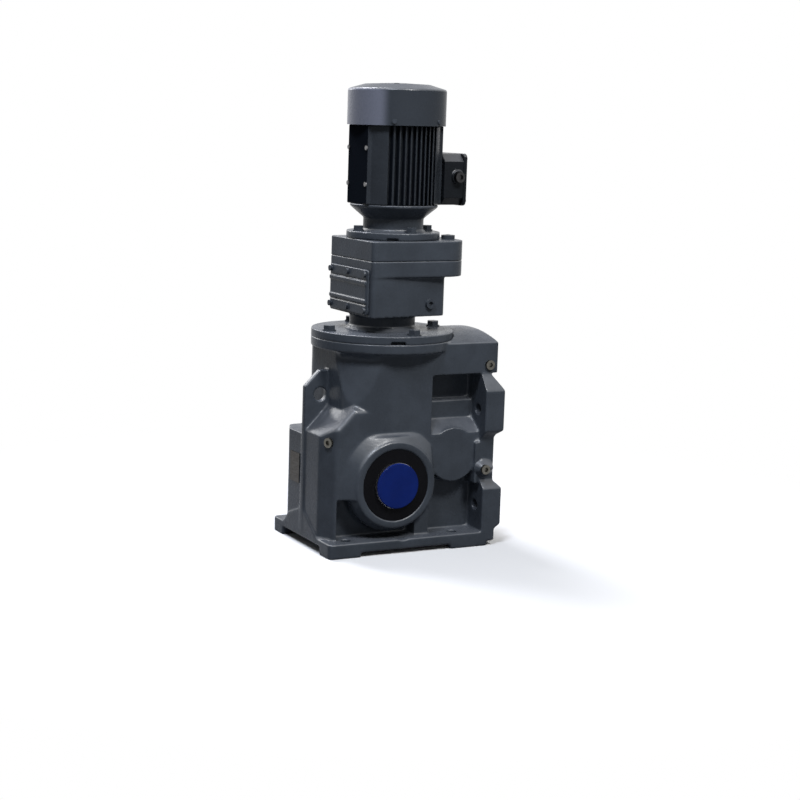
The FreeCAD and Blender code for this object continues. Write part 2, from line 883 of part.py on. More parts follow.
def intermediate_shaft():
    """The intermediate shaft with its final-stage pinion cut on it and a collar behind the crown wheel."""
    end = chamber_half + middle_bearing_width
    pinion = along_y(helical_gear(final_teeth, final_module, final_stage_width, 1, 0, 0, 2), middle_x, middle_z)
    stem = across(middle_shaft, middle_x, middle_z, -end, end)
    collar = across(middle_shaft + middle_collar, middle_x, middle_z, crown_pitch_y + crown_back, chamber_half - pass_gap)
    return fused([pinion, stem, collar])


def crown_wheel():
    """The bevel wheel on the intermediate shaft, behind the bevel pinion's axis."""
    wheel = bevel_gear(crown_teeth, bevel_teeth, crown_back, math.pi / crown_teeth, 1)
    wheel = wheel.cut(rod(middle_shaft + seat_gap, (0, 0, 0), (0, 0, 2 * crown_radius)))
    wheel = wheel.rotated(Vector(0, 0, 0), Vector(0, 0, 1), -90)
    wheel = wheel.rotated(Vector(0, 0, 0), Vector(1, 0, 0), -90)
    return wheel.translated(Vector(middle_x, 0, middle_z))


def bevel_pinion_shaft():
    """The vertical shaft with the bevel pinion cut on its lower end."""
    head = bevel_gear(bevel_teeth, crown_teeth, pinion_back, math.pi / 2, 2)
    head = head.translated(Vector(middle_x, 0, middle_z))
    return fused([head, upright(bevel_shaft, middle_x, bevel_top, input_stage_high)])


def bevel_shaft_bearings():
    starts = (bevel_lower_bearing, bevel_upper_bearing)
    return group([upright_ring(bevel_seat - seat_gap, bevel_shaft + running_gap, middle_x, start, bevel_bearing_width)
                  for start in starts])


def input_wheel():
    """The first wheel of the main unit, on the bevel pinion shaft."""
    turn = math.pi + math.pi / input_wheel_teeth
    wheel = helical_gear(input_wheel_teeth, input_module, input_stage_width, -1, turn, bevel_shaft + seat_gap)
    return wheel.translated(Vector(middle_x, 0, input_stage_low))


def input_pinion():
    """The pinion that hangs on the pre-stage's output shaft."""
    pinion = helical_gear(input_teeth, input_module, input_stage_width, 1, 0, slow_shaft + seat_gap, 2)
    return pinion.translated(Vector(0, 0, input_stage_low))


# Pre-stage

def prestage_slab():
    """The plan of the pre-stage's upper part: square on the left, round on the right."""
    return [(-prestage_left, -prestage_half, prestage_left_corner), (prestage_right, -prestage_half, prestage_corner),
            (prestage_right, prestage_half, prestage_corner), (-prestage_left, prestage_half, prestage_left_corner)]


def prestage_housing():
    """The lower casting of the pre-stage, from its round flange up to the parting line."""
    flange = upright(ring_radius, 0, housing_top, flange_top)
    spigot = upright(pilot_radius - seat_gap, 0, housing_top - spigot_depth, housing_top)
    neck = turned([(0, housing_top), (neck_radius + neck_flare, housing_top), (neck_radius + neck_flare, flange_top),
                   (neck_radius, flange_top + neck_flare), (neck_radius, prestage_floor + 1), (0, prestage_floor + 1)])
    narrow = prestage_half - prestage_body_taper
    plan = [(-prestage_left, -prestage_half, prestage_left_corner), (prestage_body_right, -narrow, cast_corner),
            (prestage_body_right, narrow, cast_corner), (-prestage_left, prestage_half, prestage_left_corner)]
    body = slab(plan, prestage_floor, prestage_rim + 1)
    rim = slab(prestage_slab(), prestage_rim, prestage_parting)
    pry = box(-pry_width / 2, pry_width / 2, -outside, -ring_radius + pry_depth, housing_top, housing_top + pry_height)
    cuts = [spun(pry, -pry_turn),
            upright(slow_tip + gear_gap, 0, slow_floor, slow_roof),
            upright(lay_tip + gear_gap, layshaft_x, slow_floor, slow_roof),
            upright(slow_seat, 0, housing_top - spigot_depth - 1, slow_roof + slow_bearing_width + pass_gap),
            upright(lay_seat, layshaft_x, lay_low, prestage_parting + 1)]
    return fused([flange, spigot, neck, body, rim]).cut(fused(cuts))


def prestage_cover():
    """The motor-side half of the pre-stage, above the parting line."""
    plate = slab(prestage_slab(), prestage_parting, prestage_top)
    cuts = [upright(lay_wheel_tip + gear_gap, layshaft_x, prestage_parting - 1, lay_top_low),
            upright(motor_spigot, motor_x, prestage_parting - 1, prestage_top + 1),
            upright(lay_top_seat, layshaft_x, prestage_parting, lay_top + pass_gap)]
    return plate.cut(fused(cuts))


def side_screw_places():
    low = prestage_floor + side_cover_rise + side_band / 2
    high = low + side_cover_height - side_band
    span = side_cover_half - side_band / 2
    return [(y, z) for y in (-span, 0, span) for z in (low, high)]


def prestage_side_cover():
    """The inspection cover on the pre-stage's left: a plate with screw bands, two ribs and a middle panel."""
    low = prestage_floor + side_cover_rise
    high = low + side_cover_height
    half = side_cover_half
    face = -prestage_left
    solids = [plate_x(rectangle(-half, half, low, high, side_cover_corner), face - side_plate, face)]
    rib_low = low + side_band + side_rib_gap
    rib_high = high - side_band - side_rib_gap
    raised = (side_cover_thick + side_plate) / 2
    for start, end, rise in ((low, low + side_band, raised), (high - side_band, high, raised),
                             (rib_low, rib_low + side_rib, side_cover_thick),
                             (rib_high - side_rib, rib_high, side_cover_thick), (rib_low, rib_high, raised)):
        corners = rectangle(-half + side_rib_gap, half - side_rib_gap, start, end)
        solids.append(plate_x(corners, face - rise, face))
    return fused(solids)


def prestage_cover_screws():
    x = -prestage_left - (side_cover_thick + side_plate) / 2
    return group([rod(side_screw, (x - side_screw_head, y, z), (x, y, z)) for y, z in side_screw_places()])


def prestage_oil_plug():
    """The plug in the slanting front of the pre-stage."""
    length = prestage_left + prestage_body_right
    y = -prestage_half + prestage_body_taper * (prestage_plug_x + prestage_left) / length
    place = (prestage_plug_x, y, prestage_floor + prestage_plug_rise)
    return socket_plug(place, (prestage_body_taper, -length, 0))


def prestage_vent_plug():
    """The low round plug on the pre-stage's top."""
    side = prestage_top + vent_rise
    plug = turned([(0, prestage_top), (vent_radius, prestage_top), (vent_radius, side), (0, side + vent_dome)])
    return plug.translated(Vector(vent_x, vent_y, 0))


def hex_bolt(across_flats, washer_radius):
    """A hexagon head on its washer, standing on z = 0."""
    washer = rod(washer_radius, (0, 0, 0), (0, 0, washer_thick))
    return fused([washer, slab(hexagon(0, 0, across_flats), washer_thick, washer_thick + bolt_head)])


def bolt_circle(bolt, radius, first_angle, x, z):
    """Four bolts on a circle about the vertical axis at x, on the plane z."""
    turns = [math.radians(first_angle + 90 * k) for k in range(4)]
    return group([bolt.translated(Vector(x + radius * math.cos(turn), radius * math.sin(turn), z)) for turn in turns])


def flange_bolts():
    return bolt_circle(hex_bolt(bolt_across, bolt_washer), flange_bolt_circle, flange_bolt_turn, 0, flange_top)


def input_shaft_seal():
    low = slow_lower_bearing - gear_gap - input_seal_width
    return upright_ring(slow_seat - seat_gap, slow_shaft + running_gap, 0, low, input_seal_width)


def prestage_output_shaft():
    """The pre-stage's output shaft, down to the input pinion."""
    return upright(slow_shaft, 0, input_stage_low, slow_roof + slow_bearing_width)


def prestage_output_gear():
    turn = math.pi / slow_wheel_teeth
    wheel = helical_gear(slow_wheel_teeth, slow_module, slow_stage_width, -1, turn, slow_shaft + seat_gap)
    return wheel.translated(Vector(0, 0, slow_wheel_low))


def prestage_output_bearings():
    return group([upright_ring(slow_seat - seat_gap, slow_shaft + running_gap, 0, low, slow_bearing_width)
                  for low in (slow_lower_bearing, slow_roof)])


def layshaft():
    """The pre-stage's second shaft with its pinion cut on it."""
    pinion = helical_gear(lay_teeth, slow_module, slow_stage_width, 1, math.pi, 0, 2)
    pinion = pinion.translated(Vector(layshaft_x, 0, slow_wheel_low))
    return fused([pinion, upright(lay_shaft, layshaft_x, lay_low + pass_gap, lay_top)])


def layshaft_gear():
    turn = math.pi + math.pi / lay_wheel_teeth
    wheel = helical_gear(lay_wheel_teeth, motor_module, motor_stage_width, -1, turn, lay_shaft + seat_gap)
    return wheel.translated(Vector(layshaft_x, 0, lay_wheel_low))


def layshaft_bearings():
    inner = lay_shaft + running_gap
    return group([upright_ring(lay_seat - seat_gap, inner, layshaft_x, lay_low, lay_bearing_width),
                  upright_ring(lay_top_seat - seat_gap, inner, layshaft_x, lay_top_low, lay_top_width)])


# Motor

def motor_flange():
    """The motor's lower end shield with the round flange that stands on the pre-stage."""
    seat_low = motor_neck_top - motor_bearing_width
    spigot = prestage_top - motor_spigot_depth
    spigot_radius = motor_spigot - seat_gap
    seal = motor_shaft + motor_seal_wall
    seal_top = spigot + motor_seal_width
    passage = motor_shaft + shaft_clearance
    hollow = motor_seat + motor_seat_wall
    shield = turned([(seal, spigot), (spigot_radius, spigot), (spigot_radius, prestage_top),
                     (adapter_radius, prestage_top), (adapter_radius, adapter_top),
                     (motor_neck + motor_neck_chamfer, adapter_top), (motor_neck, adapter_top + motor_neck_chamfer),
                     (motor_neck, motor_neck_top),
                     (frame_radius, frame_low - taper_rim), (frame_radius, frame_low), (frame_bore, frame_low),
                     (frame_bore, frame_low - taper_rim), (hollow, motor_neck_top), (motor_seat, motor_neck_top),
                     (motor_seat, seat_low), (passage, seat_low), (passage, seal_top), (seal, seal_top)], motor_x)
    slot = box(-adapter_slot_width / 2, adapter_slot_width / 2, -outside, -adapter_radius + adapter_slot_depth,
               prestage_top, prestage_top + adapter_slot_height)
    return shield.cut(spun(slot, -adapter_slot_turn, motor_x))


def motor_flange_bolts():
    return bolt_circle(hex_bolt(adapter_across, adapter_washer), adapter_bolt_circle, 0, motor_x, adapter_top)


def motor_shaft_seal():
    outer = motor_shaft + motor_seal_wall - seat_gap
    return upright_ring(outer, motor_shaft + running_gap, motor_x, prestage_top - motor_spigot_depth, motor_seal_width)


def motor_frame():
    """The finned stator frame: parallel fins front and rear, smooth lobes at the corners, flats at the sides."""
    envelope = upright(frame_radius, 0, frame_low, frame_high)
    ribs = []
    for k in range(fin_count):
        x = (k - (fin_count - 1) / 2) * fin_pitch
        ribs.append(box(x - fin_thick / 2, x + fin_thick / 2, -frame_radius, frame_radius, frame_low, frame_high))
    lobe = frame_radius * math.sin(math.radians(lobe_half_angle))
    for angle in (lobe_angle, 180 - lobe_angle):
        ribs.append(spun(box(-frame_radius, frame_radius, -lobe, lobe, frame_low, frame_high), angle))
    core = upright(frame_core, 0, frame_low, frame_high)
    pads = box(-pad_plane, pad_plane, -pad_half_width, pad_half_width, frame_low, frame_high)
    frame = fused([core, pads] + [rib.common(envelope) for rib in ribs])
    return frame.cut(upright(frame_bore, 0, frame_low, frame_high)).translated(Vector(motor_x, 0, 0))


def frame_pad_screws():
    """The four screws in the flat on the motor's left side."""
    x = motor_x - pad_plane
    return group([rod(pad_screw, (x - pad_screw_head, y, frame_low + rise), (x, y, frame_low + rise))
                  for y in (-pad_screw_y, pad_screw_y) for rise in (pad_screw_low, pad_screw_high)])


def stator_core():
    return upright_ring(frame_bore - seat_gap, rotor_radius + air_gap, motor_x, core_low, core_length)


def stator_windings():
    """The two rings of end turns, on the faces of the stator core."""
    inner = rotor_radius + winding_gap
    outer = frame_bore - winding_gap
    rings = []
    for start, end in ((core_low, core_low - winding_rise), (core_high, core_high + winding_rise)):
        bevel = start + (end - start) * (1 - winding_chamfer / winding_rise)
        rings.append(turned([(inner, start), (outer, start), (outer, bevel), (outer - winding_chamfer, end),
                             (inner + winding_chamfer, end), (inner, bevel)], motor_x))
    return group(rings)


def rotor_core():
    return upright_ring(rotor_radius, motor_shaft + seat_gap, motor_x, core_low, core_length)


def motor_shaft_piece():
    """The rotor shaft, stepped down for the pinion below and the fan above."""
    step = lay_wheel_low + motor_stage_width + pinion_length_gap
    fan_step = shield_top + pass_gap
    return turned([(0, lay_wheel_low), (pinion_bore, lay_wheel_low), (pinion_bore, step), (motor_shaft, step),
                   (motor_shaft, fan_step), (fan_bore, fan_step), (fan_bore, fan_top), (0, fan_top)], motor_x)


def motor_pinion():
    pinion = helical_gear(motor_teeth, motor_module, motor_stage_width, 1, 0, pinion_bore + seat_gap, 2)
    return pinion.translated(Vector(motor_x, 0, lay_wheel_low))


def motor_bearings():
    inner = motor_shaft + running_gap
    low = motor_neck_top - motor_bearing_width
    high = shield_top - rear_bearing_width
    return group([upright_ring(motor_seat - seat_gap, inner, motor_x, low, motor_bearing_width),
                  upright_ring(rear_seat - seat_gap, inner, motor_x, high, rear_bearing_width)])


def cowl_angles():
    return (-180 + cowl_screw_angle, -cowl_screw_angle, cowl_screw_angle, 180 - cowl_screw_angle)


def rear_end_shield():
    """The upper end shield, with four lugs that carry the fan cover."""
    hub = rear_seat + motor_seat_wall
    seat_low = shield_top - rear_bearing_width
    disc = turned([(rear_seat, seat_low), (hub, seat_low), (hub, frame_high), (frame_core, frame_high),
                   (frame_core, shield_top), (rear_seat, shield_top)], motor_x)
    reach = cowl_radius - cowl_wall - seat_gap
    lug_bar = box(hub, reach + 1, -shield_lug / 2, shield_lug / 2, frame_high, shield_top)
    lug_bar = lug_bar.common(upright(reach, 0, frame_high, shield_top))
    return fused([disc] + [spun(lug_bar, angle, motor_x) for angle in cowl_angles()])


def fan_cover():
    """The sheet cowl over the fan, with a ring of inlet slots in its top."""
    inner = cowl_radius - cowl_wall
    crown = cowl_top - cowl_crown_drop
    shell = turned([(cowl_radius, frame_high), (cowl_radius, cowl_side_top, cowl_round), (cowl_crown, crown),
                    (0, cowl_top), (0, cowl_top - cowl_wall), (cowl_crown, crown - cowl_wall),
                    (inner, cowl_side_top - cowl_wall, cowl_round - cowl_wall), (inner, frame_high)])
    slot = box(inlet_inner, inlet_outer, -inlet_width / 2, inlet_width / 2, fan_top, cowl_top + 1)
    slots = [spun(slot, 360 * k / inlet_slots) for k in range(inlet_slots)]
    return shell.cut(group(slots)).translated(Vector(motor_x, 0, 0))


def fan_cover_screws():
    z = frame_high + cowl_screw_rise
    screw = rod(cowl_screw, (cowl_radius - cowl_wall, 0, z), (cowl_radius + cowl_screw_head, 0, z))
    screw = screw.cut(upright(cowl_radius, 0, frame_high, shield_top))
    return group([spun(screw, angle, motor_x) for angle in cowl_angles()])


def cooling_fan():
    """A radial fan with straight blades on a disc."""
    disc = upright(fan_radius, 0, fan_low, fan_low + fan_disc)
    hub = upright(fan_hub, 0, fan_low, fan_top)
    blade = box(fan_bore, fan_radius, -fan_disc / 2, fan_disc / 2, fan_low, fan_top)
    blade = blade.common(upright(fan_radius, 0, fan_low, fan_top))
    blades = [spun(blade, 360 * k / fan_blades) for k in range(fan_blades)]
    fan = fused([disc, hub] + blades).cut(upright(fan_bore + seat_gap, 0, fan_low, fan_top))
    return fan.translated(Vector(motor_x, 0, 0))


# Terminal box

def terminal_outline(inset):
    """The (y, z) outline of the box, with its corners cut off."""
    half = box_half - inset
    low = box_low + inset
    high = box_high - inset
    cut = box_chamfer
    return [(-half, low + cut), (-half + cut, low), (half - cut, low), (half, low + cut),
            (half, high - cut), (half - cut, high), (-half + cut, high), (-half, high - cut)]


def terminal_box():
    """The box's base, open to its lid, with a boss for the cable entry."""
    body = plate_x(terminal_outline(0), box_back, box_face)
    boss = across(entry_radius + entry_boss, entry_x, entry_z, -box_half - entry_boss_rise, -box_half + box_wall)
    hollow = plate_x(terminal_outline(box_wall), box_back + box_wall, box_face)
    return fused([body, boss]).cut(hollow)


def terminal_box_lid():
    half = box_half + lid_overhang
    corners = rectangle(-half, half, box_low - lid_overhang, box_high + lid_overhang, lid_corner)
    return plate_x(corners, box_face, box_face + lid_thick)


def terminal_lid_screws():
    x = box_face + lid_thick
    y = box_half - lid_screw_inset
    heights = (box_low + lid_screw_inset, box_high - lid_screw_inset)
    return group([rod(lid_screw, (x, side, z), (x + lid_screw_head, side, z)) for side in (-y, y) for z in heights])


def cable_entry_plug():
    """The screwed plug in the cable entry, with a round recess."""
    face = -box_half - entry_boss_rise
    plug = across(entry_radius, entry_x, entry_z, face - entry_plug_rise, face)
    return plug.cut(across(entry_recess, entry_x, entry_z, face - entry_plug_rise, face - entry_plug_rise / 2))


def terminal_block():
    """The terminal board on the box's back wall, with two rows of studs."""
    back = box_back + box_wall
    middle = (box_low + box_high) / 2
    solids = [box(back, back + board_thick, -board_half, board_half, middle - board_height / 2, middle + board_height / 2)]
    for y in (-stud_pitch, 0, stud_pitch):
        for z in (middle - stud_row, middle + stud_row):
            solids.append(rod(stud_radius, (back, y, z), (back + board_thick + stud_rise, y, z)))
    return fused(solids)


NODES = {
    "main_housing": main_housing,
    "rating_plate": rating_plate,
    "oil_plugs": oil_plugs,
    "output_seals": output_seals,
    "output_bearings": output_bearings,
    "intermediate_bearings": intermediate_bearings,
    "intermediate_end_cap": intermediate_end_cap,
    "bevel_shaft_bearings": bevel_shaft_bearings,
    "prestage_housing": prestage_housing,
    "prestage_cover": prestage_cover,
    "prestage_side_cover": prestage_side_cover,
    "prestage_cover_screws": prestage_cover_screws,
    "prestage_oil_plug": prestage_oil_plug,
    "prestage_vent_plug": prestage_vent_plug,
    "flange_bolts": flange_bolts,
    "input_shaft_seal": input_shaft_seal,
    "prestage_output_bearings": prestage_output_bearings,
    "layshaft_bearings": layshaft_bearings,
    "motor_flange": motor_flange,
    "motor_flange_bolts": motor_flange_bolts,
    "motor_shaft_seal": motor_shaft_seal,
    "motor_frame": motor_frame,
    "frame_pad_screws": frame_pad_screws,
    "stator_core": stator_core,
    "stator_windings": stator_windings,
    "motor_bearings": motor_bearings,
    "rear_end_shield": rear_end_shield,
    "fan_cover": fan_cover,
    "fan_cover_screws": fan_cover_screws,
    "terminal_box": terminal_box,
    "terminal_box_lid": terminal_box_lid,
    "terminal_lid_screws": terminal_lid_screws,
    "cable_entry_plug": cable_entry_plug,
    "terminal_block": terminal_block,
    "motor_shaft": motor_shaft_piece,
    "rotor_core": rotor_core,
    "cooling_fan": cooling_fan,
    "motor_pinion": motor_pinion,
    "layshaft": layshaft,
    "layshaft_gear": layshaft_gear,
    "prestage_output_shaft": prestage_output_shaft,
    "prestage_output_gear": prestage_output_gear,
    "input_pinion": input_pinion,
    "bevel_pinion_shaft": bevel_pinion_shaft,
    "input_wheel": input_wheel,
    "intermediate_shaft": intermediate_shaft,
    "crown_wheel": crown_wheel,
    "hollow_shaft": hollow_shaft,
    "output_gear": output_gear,
    "shaft_cap": shaft_cap,
}

if __name__ == "__main__":
    os.makedirs("parts", exist_ok=True)
    for name, make in NODES.items():
        shape = make()
        shape.exportStep(f"parts/{name}.step")
        print(name, len(shape.Solids), shape.isValid(), round(shape.Volume / 1000, 1), "cm3")
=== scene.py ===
import json

import bmesh
import bpy
import numpy as np
from mathutils import Matrix, Vector

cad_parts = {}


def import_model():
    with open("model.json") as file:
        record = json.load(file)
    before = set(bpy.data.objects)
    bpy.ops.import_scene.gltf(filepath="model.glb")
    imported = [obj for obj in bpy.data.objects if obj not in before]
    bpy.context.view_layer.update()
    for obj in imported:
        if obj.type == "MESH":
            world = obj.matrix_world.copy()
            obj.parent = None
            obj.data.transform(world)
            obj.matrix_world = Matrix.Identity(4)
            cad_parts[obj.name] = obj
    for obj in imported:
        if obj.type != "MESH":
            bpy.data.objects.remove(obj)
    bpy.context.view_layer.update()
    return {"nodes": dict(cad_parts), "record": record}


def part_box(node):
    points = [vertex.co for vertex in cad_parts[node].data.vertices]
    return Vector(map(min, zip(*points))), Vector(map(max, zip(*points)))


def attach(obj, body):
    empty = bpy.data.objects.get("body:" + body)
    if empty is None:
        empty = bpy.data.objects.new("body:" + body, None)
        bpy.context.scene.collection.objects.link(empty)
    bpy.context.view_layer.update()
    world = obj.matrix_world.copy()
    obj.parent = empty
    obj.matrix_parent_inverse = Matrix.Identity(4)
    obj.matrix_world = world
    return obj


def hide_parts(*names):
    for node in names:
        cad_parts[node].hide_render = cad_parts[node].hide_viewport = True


# A right-angle gear motor in dark blue-grey paint, dressed on its solids. Metres, the part's own frame.

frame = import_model()
nodes = frame["nodes"]
bodies = frame["record"]["behaviour"]["bodies"]
body_of_node = {node: body for body, members in bodies.items() for node in members}
slot_of_node = {row["node"]: row["material_slot"] for row in frame["record"]["subparts"]}

white = (1.0, 1.0, 1.0)
blue_grey = (0.05, 0.058, 0.07)
# A pale tone for dust and wear, and for the painted sheen of top light on faces turned up.
pale_dust_and_sheen = (0.2, 0.205, 0.225)


# Shader building

class Shader:
    """A material's nodes, with the calls that the finishes below share."""

    def __init__(self, name):
        self.material = bpy.data.materials.new(name)
        self.material.use_nodes = True
        self.tree = self.material.node_tree
        self.surface = self.tree.nodes["Principled BSDF"]
        self.place = self.add("ShaderNodeTexCoord").outputs["Object"]

    def add(self, kind, **settings):
        node = self.tree.nodes.new(kind)
        for key, value in settings.items():
            setattr(node, key, value)
        return node

    def feed(self, socket, value):
        """Links a socket to another node's output, or gives it a plain value."""
        if isinstance(value, bpy.types.NodeSocket):
            self.tree.links.new(value, socket)
        else:
            socket.default_value = value

    def set(self, **values):
        """Feeds the surface's sockets, named with underscores for spaces."""
        for key, value in values.items():
            self.feed(self.surface.inputs[key.replace("_", " ")], value)

    def noise(self, scale, detail=3.0, roughness=0.5, place=None):
        node = self.add("ShaderNodeTexNoise")
        self.feed(node.inputs["Vector"], place or self.place)
        self.feed(node.inputs["Scale"], scale)
        self.feed(node.inputs["Detail"], detail)
        self.feed(node.inputs["Roughness"], roughness)
        return node.outputs["Fac"]

    def stretched(self, factors):
        """The place, with each axis scaled by its own factor."""
        node = self.add("ShaderNodeMapping")
        self.feed(node.inputs["Vector"], self.place)
        node.inputs["Scale"].default_value = factors
        return node.outputs["Vector"]

    def remap(self, value, low, high, to_low=0.0, to_high=1.0):
        """Eases from to_low to to_high while the value goes from low to high."""
        node = self.add("ShaderNodeMapRange", interpolation_type="SMOOTHSTEP")
        for socket, number in zip(node.inputs[:5], (value, low, high, to_low, to_high)):
            self.feed(socket, number)
        return node.outputs["Result"]

    def times(self, a, b):
        node = self.add("ShaderNodeMath", operation="MULTIPLY")
        self.feed(node.inputs[0], a)
        self.feed(node.inputs[1], b)
        return node.outputs["Value"]

    def mix(self, share, first, second):
        """The first colour, or a share of the second over it."""
        node = self.add("ShaderNodeMix", data_type="RGBA")
        self.feed(node.inputs["Factor"], share)
        # The node has sockets for other kinds of value too: its colours go in at 6 and 7 and come out at 2.
        for socket, colour in zip((node.inputs[6], node.inputs[7]), (first, second)):
            self.feed(socket, (*colour, 1.0) if isinstance(colour, tuple) else colour)
        return node.outputs[2]

    def bump(self, height, depth, under=None):
        node = self.add("ShaderNodeBump")
        self.feed(node.inputs["Height"], height)
        self.feed(node.inputs["Distance"], depth)
        if under:
            self.feed(node.inputs["Normal"], under)
        return node.outputs["Normal"]

    def facing(self, axis):
        """How far the surface faces along an axis, from -1 to 1."""
        normal = self.add("ShaderNodeSeparateXYZ")
        self.feed(normal.inputs[0], self.add("ShaderNodeNewGeometry").outputs["Normal"])
        return normal.outputs[axis]

    def edges(self):
        """Over 0.5 on outer edges and under it in corners."""
        return self.add("ShaderNodeNewGeometry").outputs["Pointiness"]


def scaled(colour, share):
    return tuple(channel * share for channel in colour)


def paint(name, colour, grain, mottling=0.12, wear=0.35, left=None):
    """Sprayed semi-gloss paint: mottled, paler on top faces from dust and a painted sheen of the light from
    above, worn at edges, over the casting's grain.

    In left are the tone and shine of faces turned to -X, and the turn at which they start and are complete.
    """
    plain_shine, slope_shine = 0.05, 0.6
    plain_roughness, slope_roughness = 0.27, 0.36
    smoother, rougher = 0.5 * mottling, 0.8 * mottling
    slope_start, slope_full, slope_end, level = 0.15, 0.45, 0.85, 0.95
    dust_and_sheen_start, dust_and_sheen_full, dust_and_sheen_share = 0.3, 0.8, 0.22
    edge_start, edge_full = 0.53, 0.62
    worn_tone = scaled(pale_dust_and_sheen, 0.8)
    peel_depth = grain * 0.12

    shader = Shader(name)
    cloud = shader.remap(shader.noise(scale=14.0, detail=5.0, roughness=0.6), 0.35, 0.7)
    tone = shader.mix(cloud, scaled(colour, 1 - mottling), scaled(colour, 1 + mottling))
    up = shader.facing("Z")
    sloped = shader.times(shader.remap(up, slope_start, slope_full), shader.remap(up, level, slope_end))
    shine = shader.remap(sloped, 0.0, 1.0, plain_shine, slope_shine)
    # Faces turned to -X take the tone in left: on the fan cover a painted reflection of bright surroundings,
    # on the motor frame's flat pads a near-black tone.
    if left:
        turned = shader.remap(shader.facing("X"), -left["start"], -left["complete"])
        tone = shader.mix(turned, tone, left["tone"])
        shine = shader.remap(turned, 0.0, 1.0, shine, left["shine"])
    # Faces turned up take a paler tone in patches: partly settled dust, partly a painted sheen that stands
    # in for the light from above.
    dust_and_sheen_patches = shader.remap(shader.noise(scale=38.0, detail=6.0, roughness=0.65), 0.25, 0.7, 0.5, 1.0)
    dust_and_sheen = shader.times(shader.remap(up, dust_and_sheen_start, dust_and_sheen_full), dust_and_sheen_patches)
    tone = shader.mix(shader.times(dust_and_sheen, dust_and_sheen_share), tone, pale_dust_and_sheen)
    edge = shader.remap(shader.edges(), edge_start, edge_full)
    worn = shader.times(edge, shader.remap(shader.noise(scale=90.0, detail=4.0), 0.42, 0.62))
    tone = shader.mix(shader.times(worn, wear), tone, worn_tone)
    least = shader.remap(sloped, 0.0, 1.0, plain_roughness - smoother, slope_roughness - smoother)
    most = shader.remap(sloped, 0.0, 1.0, plain_roughness + rougher, slope_roughness + rougher)
    roughness = shader.remap(shader.noise(scale=55.0, detail=4.0, roughness=0.6), 0.3, 0.75, least, most)
    cast = shader.bump(shader.noise(scale=160.0, detail=4.0, roughness=0.55), grain)
    peel = shader.bump(shader.noise(scale=700.0, detail=2.0, roughness=0.4), peel_depth, cast)
    shader.set(Base_Color=tone, Roughness=roughness, Normal=peel, Specular_IOR_Level=shine)
    return shader.material


def steel(name, colour, roughness, streaks):
    """Machined or plated metal with fine lines and a slightly uneven shine.

    In streaks is how fine the lines are along X, Y and Z: a low value makes them long on that axis.
    """
    dull_share = 0.72
    smoother, rougher = 0.1, 0.12
    line_depth = 0.00004

    shader = Shader(name)
    lines = shader.noise(scale=1.0, detail=3.0, roughness=0.6, place=shader.stretched(streaks))
    spots = shader.remap(shader.noise(scale=220.0, detail=5.0, roughness=0.6), 0.35, 0.75)
    shader.set(Base_Color=shader.mix(spots, scaled(colour, dull_share), colour), Metallic=1.0,
               Roughness=shader.remap(lines, 0.25, 0.8, roughness - smoother, roughness + rougher),
               Normal=shader.bump(lines, line_depth))
    return shader.material


def moulded(name, colour, roughness, grain_scale, grain):
    """Moulded rubber or plastic with a fine skin."""
    dark_share, light_share = 0.85, 1.1
    smoother, rougher = 0.06, 0.08
    skin_shine = 0.04

    shader = Shader(name)
    cloud = shader.remap(shader.noise(scale=25.0, detail=4.0, roughness=0.6), 0.3, 0.75)
    fine = shader.noise(scale=grain_scale, detail=3.0, roughness=0.5)
    shader.set(Base_Color=shader.mix(cloud, scaled(colour, dark_share), scaled(colour, light_share)),
               Roughness=shader.remap(fine, 0.3, 0.75, roughness - smoother, roughness + rougher),
               Normal=shader.bump(fine, grain), Specular_IOR_Level=skin_shine)
    return shader.material


# Finishes of the record's slots, and of the nodes that differ from their slot

# The fan cover's faces turned to -X get a lighter tone and more shine: a painted reflection of bright
# surroundings on the left.
cover_painted_reflection = dict(tone=(0.12, 0.13, 0.17), shine=0.3, start=0.56, complete=0.76)
motor_flat = dict(tone=(0.008, 0.01, 0.014), shine=0.0, start=0.9, complete=0.97)
paints = {
    "casting_paint": dict(colour=blue_grey, grain=0.00025),
    "motor_paint": dict(colour=scaled(blue_grey, 0.95), grain=0.0004),
    "cover_paint": dict(colour=scaled(blue_grey, 0.7), grain=0.0001, mottling=0.03, wear=0.0,
                        left=cover_painted_reflection),
    "box_paint": dict(colour=scaled(blue_grey, 0.22), grain=0.0003),
    "fastener_paint": dict(colour=scaled(blue_grey, 0.9), grain=0.0002, wear=0.0),
}
steels = {
    "plug_steel": dict(colour=(0.13, 0.125, 0.11), roughness=0.36, streaks=(120.0, 120.0, 900.0)),
    "screw_steel": dict(colour=(0.17, 0.17, 0.175), roughness=0.36, streaks=(160.0, 160.0, 900.0)),
    "plate_metal": dict(colour=(0.025, 0.021, 0.017), roughness=0.45, streaks=(900.0, 60.0, 900.0)),
    "bearing_steel": dict(colour=(0.62, 0.62, 0.63), roughness=0.25, streaks=(60.0, 900.0, 60.0)),
    "gear_steel": dict(colour=(0.48, 0.48, 0.49), roughness=0.34, streaks=(200.0, 200.0, 700.0)),
    "shaft_steel": dict(colour=(0.55, 0.55, 0.56), roughness=0.3, streaks=(80.0, 900.0, 80.0)),
    "core_steel": dict(colour=(0.32, 0.32, 0.33), roughness=0.42, streaks=(30.0, 30.0, 1600.0)),
    "winding_copper": dict(colour=(0.5, 0.22, 0.1), roughness=0.4, streaks=(400.0, 400.0, 60.0)),
}
